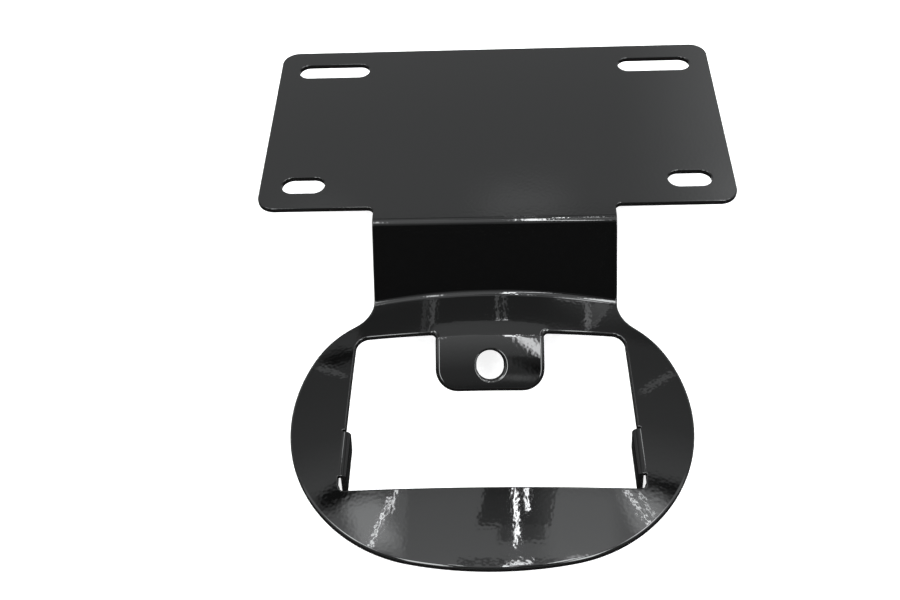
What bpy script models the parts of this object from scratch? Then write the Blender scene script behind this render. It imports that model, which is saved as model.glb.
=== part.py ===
# License plate relocation bracket: one steel sheet, punched as a flat blank, folded twice
# across its neck and pressed into a shallow bowed ring. Metres, +Z up.
# The plate panel lies in the XY plane, face up, with its middle at the origin. The ring
# lies on the -Y side, one step lower, and the bolt tab hangs into its window.

import math

import bmesh
import bpy
from mathutils import Vector

# Sheet
sheet_thickness = 0.002

# Plate panel and its adjusting slots
panel_width = 0.1778
panel_height = 0.09525
panel_corner_radius = 0.0068
slot_width = 0.0086
upper_slot_length = 0.0294
upper_slot_side_margin = 0.0226  # from the panel's side edge to the slot's middle
upper_slot_edge_margin = 0.01285  # from the panel's top edge
lower_slot_length = 0.0163
lower_slot_side_margin = 0.0165
lower_slot_edge_margin = 0.0126  # from the panel's bottom edge

# Neck: a flat apron under the panel, then a fold down, a flat strip and a fold back
neck_width = 0.089
neck_offset = -0.0007  # its middle, from the panel's middle
neck_corner_radius = 0.0023  # inside corners between the panel and the neck
apron_height = 0.0061
strip_length = 0.0238
fold_angle = math.radians(50)
upper_fold_radius = 0.0035  # on the face
lower_fold_radius = 0.0031  # on the face

# Ring, measured along its face from the end of the lower fold
ring_offset = -0.0029  # its middle, from the panel's middle
ring_width = 0.1388
ring_length = 0.1048
ring_widest_at = 0.0494
ring_end_angle = math.radians(11.65)  # each side of the middle, on the far end's long arc
ring_shoulder_radius = 0.0326
ring_shoulder_angle = math.radians(29)  # up the side arc, where the shoulder takes over
ring_fillet_radius = 0.013  # between the shoulder and the neck
bow_across_radius = 0.33
bow_along_radius = 0.5

# Window in the ring
window_top_width = 0.096
window_bottom_width = 0.1004
window_bottom_dip = 0.0006  # how far the bottom edge's middle lies below its ends
window_top_corner_radius = 0.0045
window_bottom_corner_radius = 0.002
top_band_height = 0.0161
window_height = 0.0611

# Bolt tab, folded back just below the window's top edge and curved from there on
tab_width = 0.0386
tab_length = 0.0218
tab_corner_radius = 0.008
tab_root_radius = 0.0018
tab_fold_start = 0.0012  # from the window's top edge
tab_fold_radius = 0.0024  # on the face
tab_fold_angle = math.radians(28)
tab_curve_radius = 0.08
bolt_hole_width = 0.0097
bolt_hole_height = 0.0105
bolt_hole_from_end = 0.0095  # its middle, from the tab's end

# Lips folded back on the window's sides, with a relief at each end
lip_length = 0.0167
lip_depth = 0.0138
lip_fold_radius = 0.0024  # on the face
lip_fold_angle = math.radians(103)
lip_set_back = 0.001  # fold line, outside the window's side
lip_corner_radius = 0.001
lip_relief_width = 0.0006  # above the lip
lip_clearance = 0.0059  # below the lip, to the window's bottom edge

# Facets
facet_angle = math.radians(11)
cell_size = 0.008
shortest_edge = 0.0004

# Worked out from the sizes above. Flat blank: x across, s down the sheet, s = 0 where the
# lower fold ends at the ring's middle.
upper_fold_length = upper_fold_radius * fold_angle
lower_fold_length = lower_fold_radius * fold_angle
strip_start = -lower_fold_length - strip_length
apron_end = strip_start - upper_fold_length
panel_foot = apron_end - apron_height
panel_bottom_y = -panel_height / 2
window_bottom_at = top_band_height + window_height
lip_end_at = window_bottom_at - lip_clearance
lip_start_at = lip_end_at - lip_length
lip_bend_length = lip_fold_radius * lip_fold_angle
lip_flat_length = lip_bend_length + lip_depth - lip_fold_radius
tab_end_at = top_band_height + tab_length
tab_fold_at = top_band_height + tab_fold_start
tab_fold_length = tab_fold_radius * tab_fold_angle
tab_zone = tab_width / 2 + tab_root_radius  # each side of the ring's middle


def steps_for(angle, radius=1):
    """Facets for an arc, fewer where they would be shorter than the shortest edge."""
    wanted = abs(angle) / facet_angle
    room = abs(angle) * radius / shortest_edge
    return max(2, math.ceil(min(wanted, room)))


def arc(center, radius, start, end):
    """Points on an arc, both ends included; angles from +x towards +s."""
    steps = steps_for(end - start, radius)
    angles = [start + (end - start) * i / steps for i in range(steps + 1)]
    return [(center[0] + radius * math.cos(a), center[1] + radius * math.sin(a)) for a in angles]


def rounded(corners):
    """Closed outline from (x, s, radius) corners."""
    points = []
    for i, (x, s, radius) in enumerate(corners):
        corner = Vector((x, s))
        if radius == 0:
            points.append((x, s))
            continue
        before = (Vector(corners[i - 1][:2]) - corner).normalized()
        after = (Vector(corners[(i + 1) % len(corners)][:2]) - corner).normalized()
        half = before.angle(after) / 2
        center = corner + (before + after).normalized() * radius / math.sin(half)
        spoke = corner + before * radius / math.tan(half) - center
        sweep = spoke.angle_signed(corner + after * radius / math.tan(half) - center)
        start = math.atan2(spoke.y, spoke.x)
        points += arc(center, radius, start, start - sweep)
    return points


def slot(x, s, length, width):
    """Round-ended slot, longer across than down."""
    reach = (length - width) / 2
    right = arc((x + reach, s), width / 2, -math.pi / 2, math.pi / 2)
    left = arc((x - reach, s), width / 2, math.pi / 2, 3 * math.pi / 2)
    return right + left


def ring_side(neck_side):
    """Half of the ring's outline, from the neck's side to the ring's middle line.
    Four arcs, each tangent to the next: fillet, shoulder, side and far end."""
    half_width = ring_width / 2
    drop = ring_length - ring_widest_at
    end_start = math.pi / 2 - ring_end_angle
    growth = (half_width - drop) / (math.cos(end_start) + math.sin(end_start) - 1)
    side_radius = half_width - growth * math.cos(end_start)
    end_radius = side_radius + growth
    side = (half_width - side_radius, ring_widest_at)
    end = (0, ring_length - end_radius)
    inset = side_radius - ring_shoulder_radius
    shoulder = (
        side[0] + inset * math.cos(ring_shoulder_angle),
        side[1] - inset * math.sin(ring_shoulder_angle),
    )
    fillet_x = neck_side + ring_fillet_radius
    across = fillet_x - shoulder[0]
    up = math.sqrt((ring_shoulder_radius + ring_fillet_radius) ** 2 - across**2)
    fillet = (fillet_x, shoulder[1] - up)
    touch_angle = math.atan2(-up, across)
    points = arc(fillet, ring_fillet_radius, math.pi, math.pi + touch_angle)
    points += arc(shoulder, ring_shoulder_radius, touch_angle, -ring_shoulder_angle)[1:]
    points += arc(side, side_radius, -ring_shoulder_angle, end_start)[1:]
    points += arc(end, end_radius, end_start, math.pi / 2)[1:]
    return points


def blank_outline():
    half = panel_width / 2
    top = panel_foot - panel_height
    right_neck = neck_offset + neck_width / 2
    left_neck = neck_offset - neck_width / 2
    right = [(ring_offset + x, s, 0) for x, s in ring_side(right_neck - ring_offset)]
    left = [(ring_offset - x, s, 0) for x, s in ring_side(ring_offset - left_neck)]
    return rounded(
        [
            (-half, top, panel_corner_radius),
            (half, top, panel_corner_radius),
            (half, panel_foot, panel_corner_radius),
            (right_neck, panel_foot, neck_corner_radius),
        ]
        + right
        + left[-2::-1]
        + [
            (left_neck, panel_foot, neck_corner_radius),
            (-half, panel_foot, panel_corner_radius),
        ]
    )


def window_side(s):
    """The window's half width at s."""
    share = (s - top_band_height) / (window_bottom_at - top_band_height)
    return (window_top_width + (window_bottom_width - window_top_width) * share) / 2


def fold_line(s):
    return window_side(s) + lip_set_back


def window_outline():
    """The window with the tab and the unfolded lips in it."""
    nick = lip_relief_width * 0.4  # rounds the relief's corners
    relief_at = lip_start_at - lip_relief_width
    half_tab = tab_width / 2
    half_bottom = window_bottom_width / 2
    steps = math.ceil(half_bottom / cell_size)
    bottom = [half_bottom * (1 - i / steps) for i in range(1, steps)]
    half = [
        (half_tab, tab_end_at, tab_corner_radius),
        (half_tab, top_band_height, tab_root_radius),
        (window_side(top_band_height), top_band_height, window_top_corner_radius),
        (window_side(relief_at), relief_at, nick),
        (fold_line(relief_at), relief_at, nick),
        (fold_line(lip_start_at), lip_start_at, nick),
        (fold_line(lip_start_at) - lip_flat_length, lip_start_at, lip_corner_radius),
        (fold_line(lip_end_at) - lip_flat_length, lip_end_at, lip_corner_radius),
        (fold_line(lip_end_at), lip_end_at, nick),
        (half_bottom, window_bottom_at - window_bottom_dip, window_bottom_corner_radius),
    ]
    half += [(x, window_bottom_at - window_bottom_dip * (x / half_bottom) ** 2, 0) for x in bottom]
    middle = [(0, window_bottom_at, 0)]
    mirrored = [(-x, s, r) for x, s, r in reversed(half)]
    return [(ring_offset + x, s) for x, s in rounded(half + middle + mirrored)]


def bolt_hole_outline():
    s = tab_end_at - bolt_hole_from_end
    reach = (bolt_hole_height - bolt_hole_width) / 2
    lower = arc((ring_offset, s + reach), bolt_hole_width / 2, 0, math.pi)
    upper = arc((ring_offset, s - reach), bolt_hole_width / 2, math.pi, 2 * math.pi)
    return lower + upper


def panel_slots():
    upper = panel_foot - panel_height + upper_slot_edge_margin
    lower = panel_foot - lower_slot_edge_margin
    half = panel_width / 2
    found = []
    for side in (-1, 1):
        found.append(slot(side * (half - upper_slot_side_margin), upper, upper_slot_length, slot_width))
        found.append(slot(side * (half - lower_slot_side_margin), lower, lower_slot_length, slot_width))
    return found


def flat_blank():
    """The punched blank as one filled flat face set, with y = -s."""
    curve = bpy.data.curves.new("blank_outline", "CURVE")
    curve.dimensions = "2D"
    curve.fill_mode = "BOTH"
    for outline in [blank_outline(), window_outline(), bolt_hole_outline()] + panel_slots():
        spline = curve.splines.new("POLY")
        spline.points.add(len(outline) - 1)
        for point, (x, s) in zip(spline.points, outline):
            point.co = (x, -s, 0, 1)
        spline.use_cyclic_u = True
    holder = bpy.data.objects.new("blank_outline", curve)
    bpy.context.scene.collection.objects.link(holder)
    evaluated = holder.evaluated_get(bpy.context.evaluated_depsgraph_get())
    mesh = bpy.data.meshes.new_from_object(evaluated)
    bpy.data.objects.remove(holder)
    bpy.data.curves.remove(curve)
    return mesh


def score(bm, point, normal, wanted):
    """Cuts the faces that wanted picks along a line, and marks the new edges as seams."""
    faces = [face for face in bm.faces if wanted(face.calc_center_median())]
    edges = {edge for face in faces for edge in face.edges}
    verts = {vert for face in faces for vert in face.verts}
    cut = bmesh.ops.bisect_plane(
        bm, geom=faces + list(edges) + list(verts), dist=1e-6, plane_co=point, plane_no=normal
    )
    for item in cut["geom_cut"]:
        if isinstance(item, bmesh.types.BMEdge):
            item.seam = True


def fall_across(x):
    """How far the bowed ring falls at x from its middle."""
    return bow_across_radius - math.sqrt(bow_across_radius**2 - x**2)


def fold_shift(x):
    """How far the lower fold moves down the ring where the ring has fallen."""
    return fall_across(x) / math.tan(fold_angle)


def score_ring(bm):
    """Facet lines of the bowed ring and the lips' folds."""
    below = lambda center: center.y < -strip_start
    score(bm, (0, -strip_start, 0), (0, 1, 0), lambda center: True)
    for side in (-1, 1):
        run = Vector((side * (fold_line(lip_end_at) - fold_line(lip_start_at)), -lip_length))
        point = (ring_offset + side * fold_line(lip_start_at), -lip_start_at, 0)
        score(bm, point, (run.y, -run.x, 0), below)
    columns = math.ceil(ring_width / 2 / cell_size)
    for i in range(-columns, columns + 1):
        if not fold_line(lip_start_at) - lip_flat_length < abs(i * cell_size) < fold_line(lip_end_at):
            score(bm, (ring_offset + i * cell_size, 0, 0), (1, 0, 0), below)
    for i in range(1, math.ceil(ring_length / cell_size)):
        score(bm, (0, -i * cell_size, 0), (0, 1, 0), below)
    folds = steps_for(lip_fold_angle)
    for side in (-1, 1):
        on_lip = lambda center: (
            fold_line(lip_start_at) - lip_flat_length
            < side * (center.x - ring_offset)
            < fold_line(lip_end_at)
            and lip_start_at < -center.y < lip_end_at
        )
        run = Vector((side * (fold_line(lip_end_at) - fold_line(lip_start_at)), -lip_length))
        for i in range(1, folds + 1):
            inward = fold_line(lip_start_at) - lip_bend_length * i / folds
            point = (ring_offset + side * inward, -lip_start_at, 0)
            score(bm, point, (run.y, -run.x, 0), on_lip)


def score_folds(bm):
    """Facet lines of the neck's and the tab's folds, which are straight once the blank is warped."""
    folds = steps_for(fold_angle)
    for i in range(folds + 1):
        score(bm, (0, -strip_start + upper_fold_length * i / folds, 0), (0, 1, 0), lambda center: True)
        score(bm, (0, lower_fold_length * i / folds, 0), (0, 1, 0), lambda center: center.y < -strip_start)
    folds = steps_for(tab_fold_angle, tab_fold_radius)
    on_tab = lambda center: abs(center.x - ring_offset) < tab_zone and -tab_end_at < center.y < 0
    for i in range(folds + 1):
        score(bm, (0, -tab_fold_at - tab_fold_length * i / folds, 0), (0, 1, 0), on_tab)


def warp(bm):
    """Slides the ring up so that the lower fold, arched in the blank, lies along y = 0."""
    for vert in bm.verts:
        s = -vert.co.y
        shift = fold_shift(vert.co.x - ring_offset)
        if s >= shift - lower_fold_length:
            vert.co.y = -(s - shift)
        elif s > strip_start:
            vert.co.y = -(strip_start + (s - strip_start) * strip_length / (strip_length + shift))


def clean_cells(bm):
    """Leaves one face in each cell between the facet lines."""
    flat = -apron_end - 1e-6
    spare = [
        edge
        for edge in bm.edges
        if not edge.seam and not edge.is_boundary and min(vert.co.y for vert in edge.verts) < flat
    ]
    bmesh.ops.dissolve_edges(bm, edges=spare, use_verts=False)
    loose = [
        vert
        for vert in bm.verts
        if len(vert.link_edges) == 2 and not vert.is_boundary and vert.co.y < flat
    ]
    bmesh.ops.dissolve_verts(bm, verts=loose)
    bmesh.ops.remove_doubles(bm, verts=bm.verts, dist=shortest_edge / 2)


def ring_point(x, s):
    """Face and outward normal of the bowed ring at x from its middle and s along it."""
    foot_y, foot_z = ring_start()
    turn = s / bow_along_radius
    along = Vector((0, -math.sin(turn), math.cos(turn)))
    fall = fall_across(x)
    lean = math.asin(x / bow_across_radius)
    normal = Vector((math.sin(lean), 0, 0)) + along * math.cos(lean)
    y = foot_y - bow_along_radius * math.sin(turn)
    z = foot_z - bow_along_radius * (1 - math.cos(turn))
    return Vector((x, y, z)) - along * fall, normal


def strip_end_of_fold():
    """Where the upper fold hands over to the strip, on the face."""
    y = panel_bottom_y - apron_height - upper_fold_radius * math.sin(fold_angle)
    return Vector((0, y, -upper_fold_radius * (1 - math.cos(fold_angle))))


def ring_start():
    """Where the lower fold ends on the ring's middle line."""
    start = strip_end_of_fold()
    y = start.y - strip_length * math.cos(fold_angle) - lower_fold_radius * math.sin(fold_angle)
    z = start.z - strip_length * math.sin(fold_angle) - lower_fold_radius * (1 - math.cos(fold_angle))
    return y, z


def along_arc(place, lean, radius, length):
    """Follows an arc in the YZ plane that turns down from lean; returns its end and new lean."""
    turned = lean + length / radius
    y = place.y - radius * (math.sin(turned) - math.sin(lean))
    z = place.z - radius * (math.cos(lean) - math.cos(turned))
    return Vector((place.x, y, z)), turned


def tab_point(x, past):
    """Face of the tab at x from the ring's middle and past its fold line."""
    root, normal = ring_point(x, tab_fold_at + fold_shift(x))
    lean = math.atan2(-normal.y, normal.z)
    place, lean = along_arc(root, lean, tab_fold_radius, min(past, tab_fold_length))
    return along_arc(place, lean, tab_curve_radius, max(0, past - tab_fold_length))[0]


def lip_point(x, s):
    """A point of the blank inside the lip's fold line, folded back."""
    side = math.copysign(1, x)
    root, normal = ring_point(side * fold_line(s), s)
    inward = Vector((-side * normal.z, 0, side * normal.x)).normalized()
    past = fold_line(s) - abs(x)
    angle = min(past / lip_fold_radius, lip_fold_angle)
    straight = max(0, past - lip_bend_length)
    sideways = lip_fold_radius * math.sin(angle) + straight * math.cos(angle)
    back = lip_fold_radius * (1 - math.cos(angle)) + straight * math.sin(angle)
    return root + inward * sideways - normal * back


def formed(x, y):
    """Where a point of the warped blank ends up on the bracket's face."""
    along = -y
    if along <= apron_end:
        return Vector((x, panel_bottom_y + panel_foot + y, 0))
    bend = strip_end_of_fold()
    if along < strip_start:
        angle = (along - apron_end) / upper_fold_radius
        pivot_y = panel_bottom_y - apron_height
        drop = upper_fold_radius * (1 - math.cos(angle))
        return Vector((x, pivot_y - upper_fold_radius * math.sin(angle), -drop))
    across = x - ring_offset
    if along < 0:
        root, normal = ring_point(across, fold_shift(across))
        lean = math.atan2(-normal.y, normal.z)
        pivot = root.yz + lower_fold_radius * Vector((-math.sin(lean), math.cos(lean)))
        angle = lean + (fold_angle - lean) * min(-along, lower_fold_length) / lower_fold_length
        on_fold = pivot + lower_fold_radius * Vector((math.sin(angle), -math.cos(angle)))
        share = max(0, -along - lower_fold_length) / strip_length
        place = on_fold.lerp(bend.yz, share)
        return Vector((x, place.x, place.y))
    s = along + fold_shift(across)
    lip_top = lip_start_at - lip_relief_width / 2
    lip_foot = lip_end_at + lip_clearance / 2
    past_tab = (tab_end_at + window_bottom_at) / 2
    if lip_top < s < lip_foot and window_side(s) / 2 < abs(across) < fold_line(s):
        place = lip_point(across, s)
    elif abs(across) < tab_zone and tab_fold_at < along < past_tab:
        place = tab_point(across, along - tab_fold_at)
    else:
        place = ring_point(across, s)[0]
    return place + Vector((ring_offset, 0, 0))


def make_material():
    material = bpy.data.materials.new("gloss_black_coat")
    material.use_nodes = True
    shader = material.node_tree.nodes["Principled BSDF"]
    shader.inputs["Base Color"].default_value = (0.012, 0.012, 0.013, 1)
    shader.inputs["Metallic"].default_value = 0
    shader.inputs["Roughness"].default_value = 0.12
    return material


def make_bracket(collection):
    mesh = flat_blank()
    mesh.name = "bracket"
    bm = bmesh.new()
    bm.from_mesh(mesh)
    bmesh.ops.remove_doubles(bm, verts=bm.verts, dist=1e-6)
    score_ring(bm)
    warp(bm)
    score_folds(bm)
    clean_cells(bm)
    for vert in bm.verts:
        vert.co = formed(vert.co.x, vert.co.y)
    bmesh.ops.recalc_face_normals(bm, faces=bm.faces)
    top = max(bm.faces, key=lambda face: face.calc_center_median().z)
    if top.normal.z < 0:
        bmesh.ops.reverse_faces(bm, faces=bm.faces)
    for edge in bm.edges:
        edge.seam = False
    bm.to_mesh(mesh)
    bm.free()
    bracket = bpy.data.objects.new("bracket", mesh)
    collection.objects.link(bracket)
    solidify = bracket.modifiers.new("sheet", "SOLIDIFY")
    solidify.thickness = sheet_thickness
    solidify.offset = -1
    solidify.use_even_offset = True
    mesh.shade_smooth()
    mesh.set_sharp_from_angle(angle=math.radians(35))
    mesh.materials.append(make_material())
    return bracket


for old in list(bpy.data.objects):
    bpy.data.objects.remove(old)
parts = bpy.data.collections.new("license_plate_relocation_bracket")
bpy.context.scene.collection.children.link(parts)
make_bracket(parts)
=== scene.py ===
import math

import bpy
import numpy as np
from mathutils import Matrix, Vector
from mathutils.geometry import delaunay_2d_cdt
from mathutils.kdtree import KDTree


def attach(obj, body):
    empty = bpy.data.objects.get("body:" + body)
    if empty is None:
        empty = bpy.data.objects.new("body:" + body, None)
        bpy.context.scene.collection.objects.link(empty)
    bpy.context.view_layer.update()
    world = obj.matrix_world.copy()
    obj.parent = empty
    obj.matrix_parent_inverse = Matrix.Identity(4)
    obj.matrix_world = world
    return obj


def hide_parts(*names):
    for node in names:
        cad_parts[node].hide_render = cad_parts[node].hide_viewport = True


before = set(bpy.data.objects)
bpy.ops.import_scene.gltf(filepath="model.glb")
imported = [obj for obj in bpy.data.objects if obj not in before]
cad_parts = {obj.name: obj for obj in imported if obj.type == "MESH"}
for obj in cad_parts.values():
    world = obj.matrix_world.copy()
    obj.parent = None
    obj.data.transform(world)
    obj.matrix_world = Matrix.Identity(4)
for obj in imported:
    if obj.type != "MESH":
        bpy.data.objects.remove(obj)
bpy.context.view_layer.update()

print("frame loaded")

# The bracket: one sheet, punched flat, folded at the neck, the tab and the lips, and pressed.
# Flat blank: x across, s down the sheet, s = 0 where the lower fold ends at the ring's middle.
# Metres and degrees.
bracket = {
    "thickness": 0.002,
    "panelWidth": 0.1778,
    "panelHeight": 0.09525,
    "panelCorner": 0.0068,
    "slotWidth": 0.0086,
    "upperSlot": (0.0294, 0.0226, 0.01285),  # length, side margin, edge margin
    "lowerSlot": (0.0163, 0.0165, 0.0126),
    "neckWidth": 0.089,
    "neckOffset": -0.0007,
    "neckCorner": 0.0023,
    "apron": 0.0061,
    "strip": 0.0238,
    "foldAngle": 50,
    "upperFold": 0.0035,  # radius on the face
    "lowerFold": 0.0031,
    "ringOffset": -0.0029,
    "ringWidth": 0.1388,
    "ringLength": 0.1048,
    "ringWidestAt": 0.0494,
    "ringEndAngle": 11.65,
    "ringShoulder": 0.0326,
    "ringShoulderAngle": 29,
    "ringFillet": 0.013,
    "bowAcross": 0.33,
    "bowAlong": 0.5,
    "windowTop": 0.096,
    "windowBottom": 0.1004,
    "windowDip": 0.0006,
    "windowTopCorner": 0.0045,
    "windowBottomCorner": 0.002,
    "topBand": 0.0161,
    "windowHeight": 0.0611,
    "tabWidth": 0.0386,
    "tabLength": 0.0218,
    "tabCorner": 0.008,
    "tabRoot": 0.0018,
    "tabFoldStart": 0.0012,  # below the window's top edge
    "tabFold": 0.0024,
    "tabFoldAngle": 28,
    "tabCurve": 0.08,  # radius below the fold
    "hole": (0.0097, 0.0105, 0.0095),  # width, height, from the tab's end
    "holeRim": (0.00105, 0.0006),  # rounding on the face, and how much it grows to the lower right
    "lipLength": 0.0167,
    "lipDepth": 0.0138,
    "lipFold": 0.0024,
    "lipFoldAngle": 103,
    "lipSetBack": 0.001,
    "lipCorner": 0.001,
    "lipRelief": 0.0006,
    "lipClearance": 0.0059,
    "plateRim": 0.0004,  # how far the edges are rounded on the face
    "ringRim": 0.0014,
    "windowRim": 0.0005,
    "tabRim": 0.0015,
    "lipRim": 0.0003,
    "backRim": 0.0003,
    "reach": 0.09,  # the bow is followed this far to each side of the ring's middle
}
b = bracket
foldAngle = math.radians(b["foldAngle"])
upperFoldLength = b["upperFold"] * foldAngle
lowerFoldLength = b["lowerFold"] * foldAngle
stripStart = -lowerFoldLength - b["strip"]
apronEnd = stripStart - upperFoldLength
panelFoot = apronEnd - b["apron"]
panelBottomY = -b["panelHeight"] / 2
windowBottomAt = b["topBand"] + b["windowHeight"]
lipEndAt = windowBottomAt - b["lipClearance"]
lipStartAt = lipEndAt - b["lipLength"]
lipAngle = math.radians(b["lipFoldAngle"])
lipBend = b["lipFold"] * lipAngle
lipFlat = lipBend + b["lipDepth"] - b["lipFold"]
tabEndAt = b["topBand"] + b["tabLength"]
tabFoldAt = b["topBand"] + b["tabFoldStart"]
tabFoldLength = b["tabFold"] * math.radians(b["tabFoldAngle"])


def ramp(value, start, end):  # smooth 0 to 1
    share = np.clip((value - start) / (end - start), 0, 1)
    return share * share * (3 - 2 * share)


def arc(center, radius, start, end):
    steps = max(3, math.ceil(abs(end - start) / 0.11), math.ceil(abs(end - start) * radius / 0.0009))
    angles = np.linspace(start, end, steps + 1)
    return [(center[0] + radius * math.cos(a), center[1] + radius * math.sin(a)) for a in angles]


def rounded(corners):
    points = []
    for i, (x, s, radius) in enumerate(corners):
        corner = Vector((x, s))
        if radius == 0:
            points.append((x, s))
            continue
        before = (Vector(corners[i - 1][:2]) - corner).normalized()
        after = (Vector(corners[(i + 1) % len(corners)][:2]) - corner).normalized()
        half = before.angle(after) / 2
        center = corner + (before + after).normalized() * radius / math.sin(half)
        spoke = corner + before * radius / math.tan(half) - center
        sweep = spoke.angle_signed(corner + after * radius / math.tan(half) - center)
        start = math.atan2(spoke.y, spoke.x)
        points += arc(center, radius, start, start - sweep)
    return points


def slotOutline(x, s, length, width):
    reach = (length - width) / 2
    right = arc((x + reach, s), width / 2, -math.pi / 2, math.pi / 2)
    left = arc((x - reach, s), width / 2, math.pi / 2, 3 * math.pi / 2)
    return right + left


def ringSide(neckSide):
    half = b["ringWidth"] / 2
    drop = b["ringLength"] - b["ringWidestAt"]
    endStart = math.pi / 2 - math.radians(b["ringEndAngle"])
    growth = (half - drop) / (math.cos(endStart) + math.sin(endStart) - 1)
    sideRadius = half - growth * math.cos(endStart)
    endRadius = sideRadius + growth
    side = (half - sideRadius, b["ringWidestAt"])
    shoulderAngle = math.radians(b["ringShoulderAngle"])
    inset = sideRadius - b["ringShoulder"]
    shoulder = (side[0] + inset * math.cos(shoulderAngle), side[1] - inset * math.sin(shoulderAngle))
    across = neckSide + b["ringFillet"] - shoulder[0]
    up = math.sqrt((b["ringShoulder"] + b["ringFillet"]) ** 2 - across**2)
    touch = math.atan2(-up, across)
    fillet = (neckSide + b["ringFillet"], shoulder[1] - up)
    points = arc(fillet, b["ringFillet"], math.pi, math.pi + touch)
    points += arc(shoulder, b["ringShoulder"], touch, -shoulderAngle)[1:]
    points += arc(side, sideRadius, -shoulderAngle, endStart)[1:]
    points += arc((0, b["ringLength"] - endRadius), endRadius, endStart, math.pi / 2)[1:]
    return points


def blankOutline():
    half = b["panelWidth"] / 2
    top = panelFoot - b["panelHeight"]
    rightNeck = b["neckOffset"] + b["neckWidth"] / 2
    leftNeck = b["neckOffset"] - b["neckWidth"] / 2
    right = [(b["ringOffset"] + x, s, 0) for x, s in ringSide(rightNeck - b["ringOffset"])]
    left = [(b["ringOffset"] - x, s, 0) for x, s in ringSide(b["ringOffset"] - leftNeck)]
    corner = b["panelCorner"]
    upper = [(-half, top, corner), (half, top, corner), (half, panelFoot, corner)]
    neck = [(rightNeck, panelFoot, b["neckCorner"])] + right + left[-2::-1]
    lower = [(leftNeck, panelFoot, b["neckCorner"]), (-half, panelFoot, corner)]
    return rounded(upper + neck + lower)


def windowSide(s):
    share = (s - b["topBand"]) / b["windowHeight"]
    return (b["windowTop"] + (b["windowBottom"] - b["windowTop"]) * share) / 2


def foldLine(s):
    return windowSide(s) + b["lipSetBack"]


def windowOutline():
    nick = b["lipRelief"] * 0.4
    reliefAt = lipStartAt - b["lipRelief"]
    halfTab = b["tabWidth"] / 2
    halfBottom = b["windowBottom"] / 2
    half = [
        (halfTab, tabEndAt, b["tabCorner"]),
        (halfTab, b["topBand"], b["tabRoot"]),
        (windowSide(b["topBand"]), b["topBand"], b["windowTopCorner"]),
        (windowSide(reliefAt), reliefAt, nick),
        (foldLine(reliefAt), reliefAt, nick),
        (foldLine(lipStartAt), lipStartAt, nick),
        (foldLine(lipStartAt) - lipFlat, lipStartAt, b["lipCorner"]),
        (foldLine(lipEndAt) - lipFlat, lipEndAt, b["lipCorner"]),
        (foldLine(lipEndAt), lipEndAt, nick),
        (halfBottom, windowBottomAt - b["windowDip"], b["windowBottomCorner"]),
    ]
    for share in np.linspace(0.95, 0, 20)[:-1]:
        half.append((halfBottom * share, windowBottomAt - b["windowDip"] * share**2, 0))
    mirrored = [(-x, s, r) for x, s, r in reversed(half)]
    return [(b["ringOffset"] + x, s) for x, s in rounded(half + [(0, windowBottomAt, 0)] + mirrored)]


def holeOutline():
    width, height, fromEnd = b["hole"]
    s = tabEndAt - fromEnd
    reach = (height - width) / 2
    lower = arc((b["ringOffset"], s + reach), width / 2, 0, math.pi)
    upper = arc((b["ringOffset"], s - reach), width / 2, math.pi, 2 * math.pi)
    return lower + upper


def panelSlots():
    half = b["panelWidth"] / 2
    found = []
    for (length, sideMargin, edgeMargin), fromTop in ((b["upperSlot"], True), (b["lowerSlot"], False)):
        s = panelFoot - b["panelHeight"] + edgeMargin if fromTop else panelFoot - edgeMargin
        for side in (-1, 1):
            found.append(slotOutline(side * (half - sideMargin), s, length, b["slotWidth"]))
    return found


def evenSteps(outline, step):  # divides long straight runs and drops repeated points
    points = np.array(outline)
    spaced = []
    for start, end in zip(points, np.roll(points, -1, axis=0)):
        length = np.linalg.norm(end - start)
        if length < 1e-6:
            continue
        count = max(1, math.ceil(length / step))
        spaced += [start + (end - start) * i / count for i in range(count)]
    return np.array(spaced)


def awayFromSheet(points, outer):  # unit directions in the blank that point out of the material
    along = np.roll(points, -1, axis=0) - np.roll(points, 1, axis=0)
    along /= np.linalg.norm(along, axis=1)[:, None]
    x, s = points.T
    area = np.sum(x * np.roll(s, -1) - np.roll(x, -1) * s)
    turn = 1 if (area > 0) == outer else -1
    return turn * np.column_stack((along[:, 1], -along[:, 0]))


rimChange = {  # where the rounding of the edges changes, in the blank
    "toRing": (-0.003, 0.009),
    "fromTab": (0.0005, 0.0025),
    "windowMargin": (0.003, 0.001),  # sideways and lengthways
    "clearOfLip": 0.0016,
    "growthFromLip": 0.22,
    "holeReach": 0.007,
    "lowerRight": (0.8, 0.6),
}


def rimRadius(points):  # how far the edge is rounded on the face at each point of an outline
    x = np.abs(points[:, 0] - b["ringOffset"])
    s = points[:, 1]
    radius = b["plateRim"] + (b["ringRim"] - b["plateRim"]) * ramp(s, *rimChange["toRing"])
    sideMargin, endMargin = rimChange["windowMargin"]
    onWindow = (s > b["topBand"] - endMargin) & (s < windowBottomAt + endMargin)
    onWindow &= x < windowSide(s) + sideMargin
    fromTab = np.maximum(x - b["tabWidth"] / 2, s - tabEndAt)
    opening = b["tabRim"] + (b["windowRim"] - b["tabRim"]) * ramp(fromTab, *rimChange["fromTab"])
    radius = np.where(onWindow, opening, radius)
    sideways = np.maximum(np.maximum(foldLine(s) - lipFlat - x, x - foldLine(s)), 0)
    lengthways = np.maximum(np.maximum(lipStartAt - s, s - lipEndAt), 0)
    pastLip = np.maximum(0, np.hypot(sideways, lengthways) - rimChange["clearOfLip"])
    radius = np.minimum(radius, b["lipRim"] + rimChange["growthFromLip"] * pastLip)
    fromHole = points - (b["ringOffset"], tabEndAt - b["hole"][2])
    reach = np.linalg.norm(fromHole, axis=1)
    turned = fromHole @ np.array(rimChange["lowerRight"]) / np.maximum(reach, 1e-9)
    onHole = reach < rimChange["holeReach"]
    return np.where(onHole, b["holeRim"][0] + b["holeRim"][1] * turned, radius)


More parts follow.
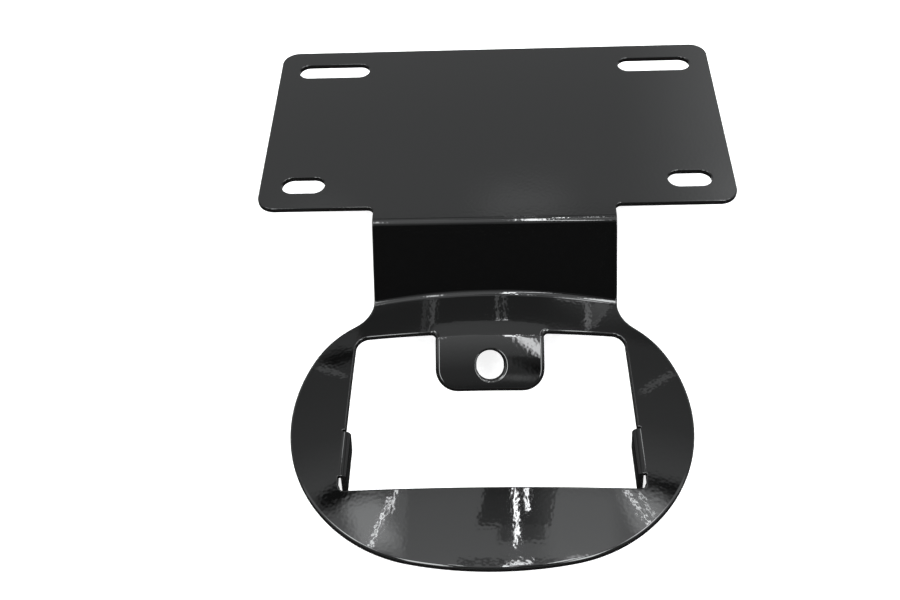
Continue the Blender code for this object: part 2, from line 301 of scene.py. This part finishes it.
def fallAcross(x):
    return b["bowAcross"] - np.sqrt(b["bowAcross"] ** 2 - x**2)


def foldShift(x):
    return fallAcross(x) / math.tan(foldAngle)


stripFoot = (
    panelBottomY - b["apron"] - b["upperFold"] * math.sin(foldAngle),
    -b["upperFold"] * (1 - math.cos(foldAngle)),
)
ringStart = (
    stripFoot[0] - b["strip"] * math.cos(foldAngle) - b["lowerFold"] * math.sin(foldAngle),
    stripFoot[1] - b["strip"] * math.sin(foldAngle) - b["lowerFold"] * (1 - math.cos(foldAngle)),
)


def ringFrame(x, s):  # points and normals of the plain bowed ring
    turn = s / b["bowAlong"]
    lean = np.arcsin(x / b["bowAcross"])
    fall = fallAcross(x)
    y = ringStart[0] - b["bowAlong"] * np.sin(turn) + np.sin(turn) * fall
    z = ringStart[1] - b["bowAlong"] * (1 - np.cos(turn)) - np.cos(turn) * fall
    place = np.stack((x + 0 * s, y, z), axis=-1)
    outward = (np.sin(lean) + 0 * s, -np.sin(turn) * np.cos(lean), np.cos(turn) * np.cos(lean))
    return place, np.stack(outward, axis=-1)


relief = {  # the shallow flat pressed into the band above the tab
    "depth": 0.00018,
    "startsAt": 0.0114,
    "upperArc": (4.0, 0.02),  # bend and lean
    "lowerArc": (4.8, 0.038),
    "easing": 1.15,
    "sideFade": (-0.0006, 0.0022),  # from the tab's sides
    "endFade": 0.002,
}


def pressedRelief(x, s):  # height over the plain bow
    upperBend, upperLean = relief["upperArc"]
    lowerBend, lowerLean = relief["lowerArc"]
    fadeStart, fadeEnd = relief["sideFade"]
    overTab = 1 - ramp(np.abs(x), b["tabWidth"] / 2 + fadeStart, b["tabWidth"] / 2 + fadeEnd)
    upperArc = relief["startsAt"] + upperBend * x**2 + upperLean * x
    lowerArc = tabFoldAt + lowerBend * x**2 + lowerLean * x
    easing = np.clip((s - upperArc) / (lowerArc - upperArc), 0, 1) ** relief["easing"]
    fading = 1 - ramp(s, tabEndAt + relief["endFade"], windowBottomAt - relief["endFade"])
    return -relief["depth"] * easing * overTab * fading


def followArc(y, z, lean, radius, length):
    turned = lean + length / radius
    y = y - radius * (np.sin(turned) - np.sin(lean))
    z = z - radius * (np.cos(lean) - np.cos(turned))
    return y, z, turned


def tabFrame(x, s):
    foldAt = tabFoldAt + foldShift(x)
    root, normal = ringFrame(x, foldAt)
    root += normal * pressedRelief(x, foldAt)[:, None]
    lean = np.arctan2(-normal[:, 1], normal[:, 2])
    past = s - foldAt
    y, z, lean = followArc(root[:, 1], root[:, 2], lean, b["tabFold"], np.clip(past, 0, tabFoldLength))
    y, z, lean = followArc(y, z, lean, b["tabCurve"], np.maximum(0, past - tabFoldLength))
    return np.stack((x, y, z), axis=-1)


def lipFrame(x, s):
    side = np.sign(x)
    root, normal = ringFrame(side * foldLine(s), s)
    inward = np.stack((-side * normal[:, 2], 0 * s, side * normal[:, 0]), axis=-1)
    inward /= np.linalg.norm(inward, axis=1)[:, None]
    past = foldLine(s) - np.abs(x)
    angle = np.minimum(past / b["lipFold"], lipAngle)
    straight = np.maximum(0, past - lipBend)
    sideways = b["lipFold"] * np.sin(angle) + straight * np.cos(angle)
    back = b["lipFold"] * (1 - np.cos(angle)) + straight * np.sin(angle)
    return root + inward * sideways[:, None] - normal * back[:, None]


def formed(x, s, onLip):  # where blank points end up on the bracket's face
    across = x - b["ringOffset"]
    shift = foldShift(np.clip(across, -b["reach"], b["reach"]))
    onRing = s >= shift
    onFold = (s >= shift - lowerFoldLength) & ~onRing & (s > stripStart)
    onStrip = (s > stripStart) & ~onRing & ~onFold
    onUpper = (s > apronEnd) & (s <= stripStart)
    place = np.stack((x, panelBottomY + panelFoot - s, 0 * x), axis=-1)
    angle = (s - apronEnd) / b["upperFold"]
    pivotY = panelBottomY - b["apron"]
    place[onUpper, 1] = (pivotY - b["upperFold"] * np.sin(angle))[onUpper]
    place[onUpper, 2] = (-b["upperFold"] * (1 - np.cos(angle)))[onUpper]
    narrow = np.clip(across, -0.2, 0.2)
    root, normal = ringFrame(narrow, foldShift(narrow))
    lean = np.arctan2(-normal[:, 1], normal[:, 2])
    swept = np.clip((shift - s) / lowerFoldLength, 0, 1)
    bend = lean + (foldAngle - lean) * swept
    foldY = root[:, 1] + b["lowerFold"] * (np.sin(bend) - np.sin(lean))
    foldZ = root[:, 2] + b["lowerFold"] * (np.cos(lean) - np.cos(bend))
    share = np.clip((shift - lowerFoldLength - s) / (b["strip"] + shift), 0, 1)
    share = np.where(onStrip, share, 0)
    bent = onFold | onStrip
    place[bent, 1] = (foldY + (stripFoot[0] - foldY) * share)[bent]
    place[bent, 2] = (foldZ + (stripFoot[1] - foldZ) * share)[bent]
    bow = np.clip(across, -b["reach"], b["reach"])
    face, normal = ringFrame(bow, s)
    face += normal * pressedRelief(bow, s)[:, None]
    place[onRing] = face[onRing] + (b["ringOffset"], 0, 0)
    pastTab = (tabEndAt + windowBottomAt) / 2
    onTab = (np.abs(across) < b["tabWidth"] / 2 + b["tabRoot"]) & (s > tabFoldAt + shift) & (s < pastTab)
    place[onTab] = tabFrame(bow, s)[onTab] + (b["ringOffset"], 0, 0)
    if onLip.any():
        place[onLip] = lipFrame(across[onLip], s[onLip]) + (b["ringOffset"], 0, 0)
    return place


def isLip(points):
    x = np.abs(points[:, 0] - b["ringOffset"])
    s = points[:, 1]
    top = lipStartAt - b["lipRelief"] / 2
    foot = lipEndAt + b["lipClearance"] / 2
    return (s > top) & (s < foot) & (x > windowSide(s) / 2) & (x < foldLine(s))


# Places and normals for blank points at a depth under the face: tilt is 0 on the face, a right
# angle on the cut edge and a half turn on the back
def shaped(points, away, depth, tilt):
    onLip = isLip(points)
    x, s = points.T
    nudge = 2e-5
    face = formed(x, s, onLip)
    alongX = formed(x + nudge, s, onLip) - formed(x - nudge, s, onLip)
    alongS = formed(x, s + nudge, onLip) - formed(x, s - nudge, onLip)
    normal = np.cross(alongS, alongX)
    normal /= np.linalg.norm(normal, axis=1)[:, None]
    out = alongX * away[:, :1] + alongS * away[:, 1:]
    out -= normal * np.sum(out * normal, axis=1)[:, None]
    out /= np.maximum(np.linalg.norm(out, axis=1), 1e-12)[:, None]
    place = face - normal * depth[:, None]
    turned = normal * np.cos(tilt)[:, None] + out * np.sin(tilt)[:, None]
    return place, turned


cells = {"panel": 0.0026, "strip": 0.0018, "ring": 0.0012, "tab": 0.0006, "lip": 0.00055, "fold": 0.00045}


def cellSize(x, s):  # wanted mesh cell: fine in the folds, the lips and the tab
    across = np.abs(x - b["ringOffset"])
    shift = foldShift(np.clip(across, 0, b["reach"]))
    size = np.full(len(x), cells["panel"])
    size[s > stripStart] = cells["strip"]
    size[s > shift - 0.004] = cells["ring"]
    size[(across < 0.023) & (s > 0.009) & (s < tabEndAt)] = cells["tab"]
    size[(s > shift - lowerFoldLength - 0.0006) & (s < shift + 0.0008)] = cells["fold"]
    size[(s > apronEnd - 0.0006) & (s < stripStart + 0.0006)] = cells["fold"]
    nearLip = (s > lipStartAt - 0.003) & (s < lipEndAt + 0.002)
    nearLip &= (across > foldLine(s) - lipFlat) & (across < foldLine(s) + 0.001)
    size[nearLip] = cells["lip"]
    return size


def isInside(points, loops):  # even-odd test against all the loops together
    found = np.zeros(len(points), bool)
    for loop in loops:
        start, end = loop, np.roll(loop, -1, axis=0)
        for i in range(0, len(points), 4000):
            x, s = points[i : i + 4000, 0, None], points[i : i + 4000, 1, None]
            spans = (start[:, 1] > s) != (end[:, 1] > s)
            rise = np.where(end[:, 1] == start[:, 1], 1, end[:, 1] - start[:, 1])
            crossing = start[:, 0] + (s - start[:, 1]) / rise * (end[:, 0] - start[:, 0])
            found[i : i + 4000] ^= (spans & (x < crossing)).sum(axis=1) % 2 == 1
    return found


def innerPoints(loops):  # mesh points inside the sheet, on staggered grids of several sizes
    low = np.min(np.concatenate(loops), axis=0)
    high = np.max(np.concatenate(loops), axis=0)
    edge = np.concatenate(loops)
    tree = KDTree(len(edge))
    for i, (x, s) in enumerate(edge):
        tree.insert((x, s, 0), i)
    tree.balance()
    kept = []
    for step in cells.values():
        rows = np.arange(low[1], high[1], step * 0.866)
        columns = np.arange(low[0], high[0], step)
        x = columns[None, :] + (np.arange(len(rows)) % 2)[:, None] * step / 2
        grid = np.column_stack((x.ravel(), np.repeat(rows, len(columns))))
        grid = grid[cellSize(*grid.T) == step]
        grid = grid[isInside(grid, loops)]
        kept += [point for point in grid if tree.find((*point, 0))[2] > 0.6 * step]
    return np.array(kept)


def filled(loops, inside):  # triangles over the sheet, as indices into the loops' and inside points
    points = np.concatenate(loops + [inside])
    edges = []
    start = 0
    for loop in loops:
        count = len(loop)
        edges += [(start + i, start + (i + 1) % count) for i in range(count)]
        start += count
    flat = [Vector((x * 1000, -s * 1000)) for x, s in points]
    found = delaunay_2d_cdt(flat, edges, [], 0, 1e-5)
    origin = [ids[0] if ids else -1 for ids in found[3]]
    faces = np.array([[origin[i] for i in face] for face in found[2] if len(face) == 3])
    faces = faces[(faces >= 0).all(axis=1)]
    return faces[isInside(points[faces].mean(axis=1), loops)]


def buildBracket():
    outlines = [(blankOutline(), True), (windowOutline(), False), (holeOutline(), False)]
    outlines += [(outline, False) for outline in panelSlots()]
    thickness, backRim = b["thickness"], b["backRim"]
    rows = []  # each gives the offset from the outline, the depth and the tilt of one row of points
    for angle in np.radians((0, 15, 30, 45, 60, 75, 90)):
        rows.append(lambda r, a=angle: (r * (1 - math.sin(a)), r * (1 - math.cos(a)), a))
    rows.append(lambda r: (0 * r, (r + thickness - backRim) / 2, math.pi / 2))
    for angle in np.radians((90, 120, 150, 180)):
        offset, depth = backRim * (1 - math.sin(angle)), thickness - backRim * (1 + math.cos(angle))
        rows.append(lambda r, offset=offset, depth=depth, a=angle: (0 * r + offset, 0 * r + depth, a))
    places, normals, rims, faces = [], [], [], []
    frontLoops, backLoops, frontIds, backIds = [], [], [], []
    start = 0
    for outline, outer in outlines:
        points = evenSteps(outline, 0.001)
        away = awayFromSheet(points, outer)
        radius = rimRadius(points)
        count = len(points)
        for row in rows:
            offset, depth, tilt = row(radius)
            moved = points - away * offset[:, None]
            place, normal = shaped(moved, away, depth, np.full(count, tilt))
            places.append(place)
            normals.append(normal)
            rims.append(np.full(count, math.sin(tilt)))
            if row is rows[0]:
                frontLoops.append(moved)
                frontIds.append(start + np.arange(count))
            if row is rows[-1]:
                backLoops.append(moved)
                backIds.append(start + np.arange(count))
            else:
                ids = start + np.arange(count)
                ahead = np.roll(ids, -1)
                quads = np.column_stack((ids, ahead, ahead + count, ids + count))
                x, s = points.T
                area = np.sum(x * np.roll(s, -1) - np.roll(x, -1) * s)
                faces.append(quads if (area > 0) == outer else quads[:, ::-1])
            start += count
    triangles = []
    sides = ((frontLoops, frontIds, 0.0, 0.0), (backLoops, backIds, thickness, math.pi))
    for loops, ids, depth, tilt in sides:
        inside = innerPoints(loops)
        flat = np.zeros((len(inside), 2))
        flat[:, 0] = 1
        place, normal = shaped(inside, flat, np.full(len(inside), depth), np.full(len(inside), tilt))
        places.append(place)
        normals.append(normal)
        rims.append(np.zeros(len(inside)))
        index = np.concatenate(ids + [start + np.arange(len(inside))])
        start += len(inside)
        filling = index[filled(loops, inside)]
        triangles.append(filling if tilt == 0 else filling[:, ::-1])
    mesh = bpy.data.meshes.new("pressedSheet")
    allFaces = [list(map(int, face)) for group in faces + triangles for face in group]
    mesh.from_pydata(np.concatenate(places).tolist(), [], allFaces)
    rim = mesh.attributes.new("rimShare", "FLOAT", "POINT")
    rim.data.foreach_set("value", np.concatenate(rims).astype(np.float32))
    mesh.shade_smooth()
    mesh.normals_split_custom_set_from_vertices(np.concatenate(normals).tolist())
    piece = bpy.data.objects.new("pressedSheet", mesh)
    bpy.context.scene.collection.objects.link(piece)
    print("bracket", len(mesh.vertices), "points", len(mesh.polygons), "faces")
    return piece


def makeNode(tree, kind, place=(0, 0), **values):
    node = tree.nodes.new(kind)
    node.location = place
    for name, value in values.items():
        setattr(node, name, value)
    return node


# Gloss black powder coat: orange peel, a slow swell, uneven haze and slightly lighter rims
coat = {
    "color": (0.0018, 0.0018, 0.0018, 1),
    "rimColor": (0.0045, 0.0044, 0.0043, 1),
    "roughness": (0.025, 0.045),
    "ior": 1.5,
    "peel": (900, 0, 0.0000065),  # noise scale, detail and depth
    "swell": (60, 1, 0.00002),
    "haze": (35, 5),
}


def glossBlackCoat():
    material = bpy.data.materials.new("glossBlackCoat")
    material.use_nodes = True
    tree = material.node_tree
    shader = tree.nodes["Principled BSDF"]
    where = makeNode(tree, "ShaderNodeTexCoord", (-1400, 0))
    noises = []
    for i, name in enumerate(("haze", "peel", "swell")):
        noise = makeNode(tree, "ShaderNodeTexNoise", (-1100, -300 * i))
        noise.inputs["Scale"].default_value, noise.inputs["Detail"].default_value = coat[name][:2]
        noises.append(noise)
    haze, peel, swell = noises
    bump = makeNode(tree, "ShaderNodeBump", (-500, -300))
    coarse = makeNode(tree, "ShaderNodeBump", (-500, -600))
    for node, name in ((bump, "peel"), (coarse, "swell")):
        node.inputs["Strength"].default_value = 1
        node.inputs["Distance"].default_value = coat[name][2]
    roughness = makeNode(tree, "ShaderNodeMapRange", (-500, 0))
    roughness.inputs["From Min"].default_value = 0.3
    roughness.inputs["From Max"].default_value = 0.7
    roughness.inputs["To Min"].default_value, roughness.inputs["To Max"].default_value = coat["roughness"]
    rim = makeNode(tree, "ShaderNodeAttribute", (-1100, 300), attribute_name="rimShare")
    tint = makeNode(tree, "ShaderNodeMix", (-500, 300), data_type="RGBA")
    tint.inputs["A"].default_value = coat["color"]
    tint.inputs["B"].default_value = coat["rimColor"]
    link = tree.links.new
    for texture in (peel, swell, haze):
        link(where.outputs["Object"], texture.inputs["Vector"])
    link(peel.outputs["Fac"], bump.inputs["Height"])
    link(swell.outputs["Fac"], coarse.inputs["Height"])
    link(coarse.outputs["Normal"], bump.inputs["Normal"])
    link(haze.outputs["Fac"], roughness.inputs["Value"])
    link(rim.outputs["Fac"], tint.inputs["Factor"])
    link(tint.outputs["Result"], shader.inputs["Base Color"])
    link(roughness.outputs["Result"], shader.inputs["Roughness"])
    link(bump.outputs["Normal"], shader.inputs["Normal"])
    shader.inputs["IOR"].default_value = coat["ior"]
    return material


pressedSheet = buildBracket()
pressedSheet.data.materials.append(glossBlackCoat())
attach(pressedSheet, "root")
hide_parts("bracket")

lowest = min(vert.co.z for vert in pressedSheet.data.vertices)

# Camera, at the photograph's viewing angle
cameraSpec = {
    "place": (-0.0012003, -0.3405064, 0.2813576),
    "turn": (41.252456, 2.288505, 0.848375),
    "lens": 44.0485,
    "sensor": 36,
}
cameraData = bpy.data.cameras.new("photoCamera")
cameraData.lens = cameraSpec["lens"]
cameraData.sensor_width = cameraSpec["sensor"]
cameraData.clip_start = 0.01
camera = bpy.data.objects.new("photoCamera", cameraData)
camera.location = cameraSpec["place"]
camera.rotation_euler = [math.radians(angle) for angle in cameraSpec["turn"]]
bpy.context.scene.collection.objects.link(camera)
bpy.context.scene.camera = camera

# Pale floor
floorSpec = {"half": 2.6, "color": (0.5, 0.5, 0.5, 1), "glow": 0.82, "backdrop": 4.0}


def buildFloor():
    mesh = bpy.data.meshes.new("paleFloor")
    half = floorSpec["half"]
    corners = [(-half, -half, 0), (half, -half, 0), (half, half, 0), (-half, half, 0)]
    mesh.from_pydata(corners, [], [(0, 1, 2, 3)])
    floor = bpy.data.objects.new("paleFloor", mesh)
    floor.location.z = lowest - 0.0002
    bpy.context.scene.collection.objects.link(floor)
    material = bpy.data.materials.new("paleFloorPaint")
    material.use_nodes = True
    shader = material.node_tree.nodes["Principled BSDF"]
    shader.inputs["Base Color"].default_value = floorSpec["color"]
    shader.inputs["Roughness"].default_value = 0.8
    shader.inputs["Specular IOR Level"].default_value = 0
    shader.inputs["Emission Color"].default_value = (1, 1, 1, 1)
    shader.inputs["Emission Strength"].default_value = floorSpec["glow"]
    mesh.materials.append(material)
    floor.visible_glossy = False  # the coat mirrors the dark studio below the bracket instead
    return floor


def buildBackdrop():
    mesh = bpy.data.meshes.new("paleBackdrop")
    rows, columns, radius = 16, 32, floorSpec["backdrop"]
    points = []
    for i in range(rows + 1):
        rise = math.pi * (i / rows - 0.5)
        for j in range(columns):
            turn = 2 * math.pi * j / columns
            across = radius * math.cos(rise)
            points.append((across * math.cos(turn), across * math.sin(turn), radius * math.sin(rise)))
    faces = []
    for i in range(1, rows - 1):
        for j in range(columns):
            start, ahead = i * columns + j, i * columns + (j + 1) % columns
            faces.append((start, start + columns, ahead + columns, ahead))
    mesh.from_pydata(points[columns:-columns], [], [[k - columns for k in face] for face in faces])
    backdrop = bpy.data.objects.new("paleBackdrop", mesh)
    bpy.context.scene.collection.objects.link(backdrop)
    material = bpy.data.materials.new("paleBackdropPaint")
    material.use_nodes = True
    shader = material.node_tree.nodes["Principled BSDF"]
    shader.inputs["Base Color"].default_value = (0, 0, 0, 1)
    shader.inputs["Specular IOR Level"].default_value = 0
    shader.inputs["Emission Color"].default_value = (1, 1, 1, 1)
    shader.inputs["Emission Strength"].default_value = 1
    mesh.materials.append(material)
    for seen in ("visible_diffuse", "visible_glossy", "visible_transmission", "visible_shadow"):
        setattr(backdrop, seen, False)  # a plain pale surround that lets the studio light through
    return backdrop


buildFloor()
buildBackdrop()
print("floor and backdrop staged")

# Soft studio light, in degrees up from the camera's axis and across it: a wall and ceiling
# whose brightness changes with the angle up, and soft panels and tubes in front of them
studio = {
    "color": (0.98, 1, 1.01, 1),
    "wall": (
        (-180, 0.02), (-35, 0.02), (-31, 1.2), (-27, 1.2), (-23, 0.02), (-12, 0.02), (-5, 0.35),
        (3, 0.45), (12, 0.9), (20, 1.4), (40, 1.5), (45, 1.9), (48, 1.75), (54, 1.55), (56.6, 1.3),
        (57.4, 0.6), (59, 0.95), (66, 0.55), (75, 0.42), (77.6, 0.42), (79, 0.2), (84, 0.18),
        (85.5, 0.6), (87, 0.82), (92, 0.74), (100, 0.74), (120, 0.7), (180, 0.3),
    ),
    "patches": {  # middle up, middle across, half height, half width, lean, softness, brightness
        "leftPanel": (52.2, -21.3, 3.6, 3.0, -0.3, 1.7, 2.8),
        "leftTubeA": (51.8, -20.0, 3.4, 0.13, 0.55, 0.1, 26),
        "leftTubeB": (55, -17.6, 1.6, 0.15, 0.4, 0.1, 20),
        "leftPanelEdge": (51, -16.8, 5, 1.0, 0.1, 0.5, 0.5),
        "leftShade": (56.8, -27, 1.6, 2.6, 0.9, 1.5, -1.1),
        "leftLowPanel": (38, -34, 9, 6, 0, 3, 14),
        "leftSide": (4, -20, 16, 6, 0, 2, 14),
        "rightPanel": (53, 22.0, 3, 3.4, -0.4, 1.6, 2.4),
        "rightTubeA": (53.3, 20.6, 2.6, 0.13, -0.95, 0.1, 26),
        "rightTubeB": (53.4, 22.4, 2.2, 0.08, -0.8, 0.06, 20),
        "rightGap": (56.6, 25, 1.4, 4.5, -0.5, 1.3, -0.9),
        "rightLowPanel": (38, 33, 9, 6, 0, 3, 14),
        "bodyShade": (53.2, 1.7, 3.0, 5.6, 0.25, 0.3, -1.15),
        "bodyShadeLow": (49.2, 2.2, 1.0, 3.6, 0.2, 0.4, -0.95),
        "lowLine": (45.7, 0.6, 0.3, 8.5, 0, 0.25, -1.1),
        "lowGlint": (45.4, 1.9, 0.25, 1.8, 0, 0.2, 20),
        "rightWall": (50, 11.5, 6, 6, 0, 2.5, 0.6),
        "middleTubeLow": (33, -0.25, 12, 0.55, 0, 0.3, 24),
        "middleTubeA": (51.4, 1.4, 3.7, 0.22, 0, 0.08, 36),
        "middleTubeB": (53.8, 3.2, 1.7, 0.22, 0, 0.1, 30),
        "middleTubeHighA": (80.5, -0.25, 3.4, 0.2, 0, 0.1, 1.1),
        "middleTubeHighB": (80.5, 0.8, 3.4, 0.2, 0, 0.1, 0.9),
        "middleTubeEndA": (78.4, -0.25, 0.2, 0.25, 0, 0.2, 22),
        "middleTubeEndB": (78.4, 0.75, 0.2, 0.25, 0, 0.2, 22),
        "leftTubeLow": (33, -9.2, 10, 0.8, -0.03, 0.3, 10),
        "leftTubeHighA": (80.5, -9.9, 3.6, 0.35, 0.15, 0.25, 1.0),
        "leftTubeHighB": (80.5, -11.2, 3, 0.3, 0.15, 0.3, 0.45),
        "rightTubeLow": (30, 11.3, 16, 2.0, 0, 0.8, 14),
        "rightTubeHigh": (80.5, 13.0, 2.4, 0.35, 0, 0.25, 1.5),
        "rightTriangle": (81, 14.2, 2.2, 1.1, 0.5, 0.2, 0.5),
        "rightTriangleEdge": (81, 15.3, 2.2, 0.16, 0.62, 0.2, 0.7),
        "rightTubeFold": (83.4, 10.5, 0.6, 2, 0, 0.8, 3),
        "leftShoulder": (80.3, -25, 1.6, 4, 0, 0.6, 0.35),
        "plateRight": (90, 15, 7, 4, 0, 6, 1.2),
        "plateFoot": (87.4, 0.6, 0.7, 2.0, 0, 1.6, 0.45),
        "plateFootLeft": (87.4, -10, 0.6, 1.4, 0, 1.4, 0.25),
        "plateFootRight": (87, 14, 1, 4, 0, 1.8, 0.4),
        "tabLamp": (15.5, 1.6, 6, 0.9, -0.2, 0.6, 13),
        "tabShade": (4.5, 4.6, 5, 4.6, -0.3, 1.2, -0.46),
        "rightSide": (4, 23, 16, 6, 0, 2, 14),
        "leftGap": (78.4, -24.5, 1.5, 2.2, -1.2, 0.5, -0.34),
        "leftHighLine": (76.4, -25.8, 1.8, 0.5, -1.2, 0.3, 0.7),
        "rightHighLine": (72.5, 23.5, 2.4, 0.5, 1.0, 0.3, 0.8),
        "rightFoldHigh": (66, 11.5, 8, 3.2, 0, 1.4, 7),
        "tabGlow": (-2.5, -0.4, 1.6, 1.4, 0, 1.5, 0.8),
        "overTab": (69, 0, 8, 11, 0, 2.5, 0.42),
    },
}


def patchGroup():  # brightness of one soft panel at a direction, by its angles up and across
    group = bpy.data.node_groups.new("softPanel", "ShaderNodeTree")
    names = ["Up", "Across", "Middle Up", "Middle Across", "Half Height", "Half Width"]
    for name in names + ["Lean", "Softness", "Brightness"]:
        group.interface.new_socket(name, in_out="INPUT", socket_type="NodeSocketFloat")
    group.interface.new_socket("Brightness", in_out="OUTPUT", socket_type="NodeSocketFloat")
    given = makeNode(group, "NodeGroupInput", (-1200, 0))
    result = makeNode(group, "NodeGroupOutput", (600, 0))

    def calculated(operation, place, *values):
        node = makeNode(group, "ShaderNodeMath", place, operation=operation)
        for i, value in enumerate(values):
            if isinstance(value, (int, float)):
                node.inputs[i].default_value = value
            else:
                group.links.new(value, node.inputs[i])
        return node.outputs[0]

    def covered(distance, half, place):
        node = makeNode(group, "ShaderNodeMapRange", place, interpolation_type="SMOOTHSTEP")
        group.links.new(distance, node.inputs["Value"])
        inner = calculated("SUBTRACT", (place[0] - 200, place[1] - 100), half, given.outputs["Softness"])
        outer = calculated("ADD", (place[0] - 200, place[1] - 250), half, given.outputs["Softness"])
        group.links.new(outer, node.inputs["From Min"])
        group.links.new(inner, node.inputs["From Max"])
        return node.outputs["Result"]

    up = calculated("SUBTRACT", (-900, 200), given.outputs["Up"], given.outputs["Middle Up"])
    lean = calculated("MULTIPLY", (-700, 0), up, given.outputs["Lean"])
    across = calculated("SUBTRACT", (-900, -200), given.outputs["Across"], given.outputs["Middle Across"])
    across = calculated("SUBTRACT", (-500, -100), across, lean)
    up = calculated("ABSOLUTE", (-500, 200), up)
    across = calculated("ABSOLUTE", (-300, -100), across)
    upShare = covered(up, given.outputs["Half Height"], (0, 300))
    acrossShare = covered(across, given.outputs["Half Width"], (0, -300))
    share = calculated("MULTIPLY", (200, 0), upShare, acrossShare)
    bright = calculated("MULTIPLY", (400, 0), share, given.outputs["Brightness"])
    group.links.new(bright, result.inputs[0])
    return group


def buildStudio():
    world = bpy.data.worlds.new("softStudio")
    bpy.context.scene.world = world
    world.use_nodes = True
    tree = world.node_tree
    background = tree.nodes["Background"]
    background.inputs["Color"].default_value = studio["color"]
    axes = camera.matrix_world.to_3x3()
    where = makeNode(tree, "ShaderNodeTexCoord", (-1600, 0))
    parts = {}
    named = {"toCamera": axes.col[2], "up": axes.col[1], "right": axes.col[0]}
    for i, (name, axis) in enumerate(named.items()):
        dot = makeNode(tree, "ShaderNodeVectorMath", (-1400, -200 * i), operation="DOT_PRODUCT")
        dot.inputs[1].default_value = axis
        tree.links.new(where.outputs["Generated"], dot.inputs[0])
        parts[name] = dot.outputs["Value"]

    def calculated(operation, place, *values):
        node = makeNode(tree, "ShaderNodeMath", place, operation=operation)
        for i, value in enumerate(values):
            if isinstance(value, (int, float)):
                node.inputs[i].default_value = value
            else:
                tree.links.new(value, node.inputs[i])
        return node.outputs[0]

    up = calculated("DEGREES", (-1000, 0), calculated("ARCTAN2", (-1200, 0), parts["up"], parts["toCamera"]))
    across = calculated("DEGREES", (-1000, -400), calculated("ARCSINE", (-1200, -400), parts["right"]))
    levels = makeNode(tree, "ShaderNodeFloatCurve", (-600, 0))
    levels.mapping.use_clip = False
    curve = levels.mapping.curves[0]
    brightest = max(level for _, level in studio["wall"])
    places = [((degrees + 180) / 360, level / brightest) for degrees, level in studio["wall"]]
    curve.points[0].location = places[0]
    curve.points[1].location = places[-1]
    for place in places[1:-1]:
        curve.points.new(*place)
    for point in curve.points:
        point.handle_type = "VECTOR"
    levels.mapping.update()
    share = calculated("MULTIPLY_ADD", (-800, 0), up, 1 / 360, 0.5)
    tree.links.new(share, levels.inputs["Value"])
    total = calculated("MULTIPLY", (-400, 0), levels.outputs[0], brightest)
    group = patchGroup()
    for i, (name, values) in enumerate(studio["patches"].items()):
        patch = makeNode(tree, "ShaderNodeGroup", (-600, -300 - 260 * i), node_tree=group, label=name)
        tree.links.new(up, patch.inputs["Up"])
        tree.links.new(across, patch.inputs["Across"])
        for socket, value in zip(patch.inputs[2:], values):
            socket.default_value = value
        total = calculated("ADD", (-200, -260 * i), total, patch.outputs[0])
    tree.links.new(calculated("MAXIMUM", (0, 0), total, 0.01), background.inputs["Strength"])


bpy.context.view_layer.update()
buildStudio()
print("studio lit with", len(studio["patches"]), "soft patches")
bpy.context.scene.view_settings.view_transform = "Standard"
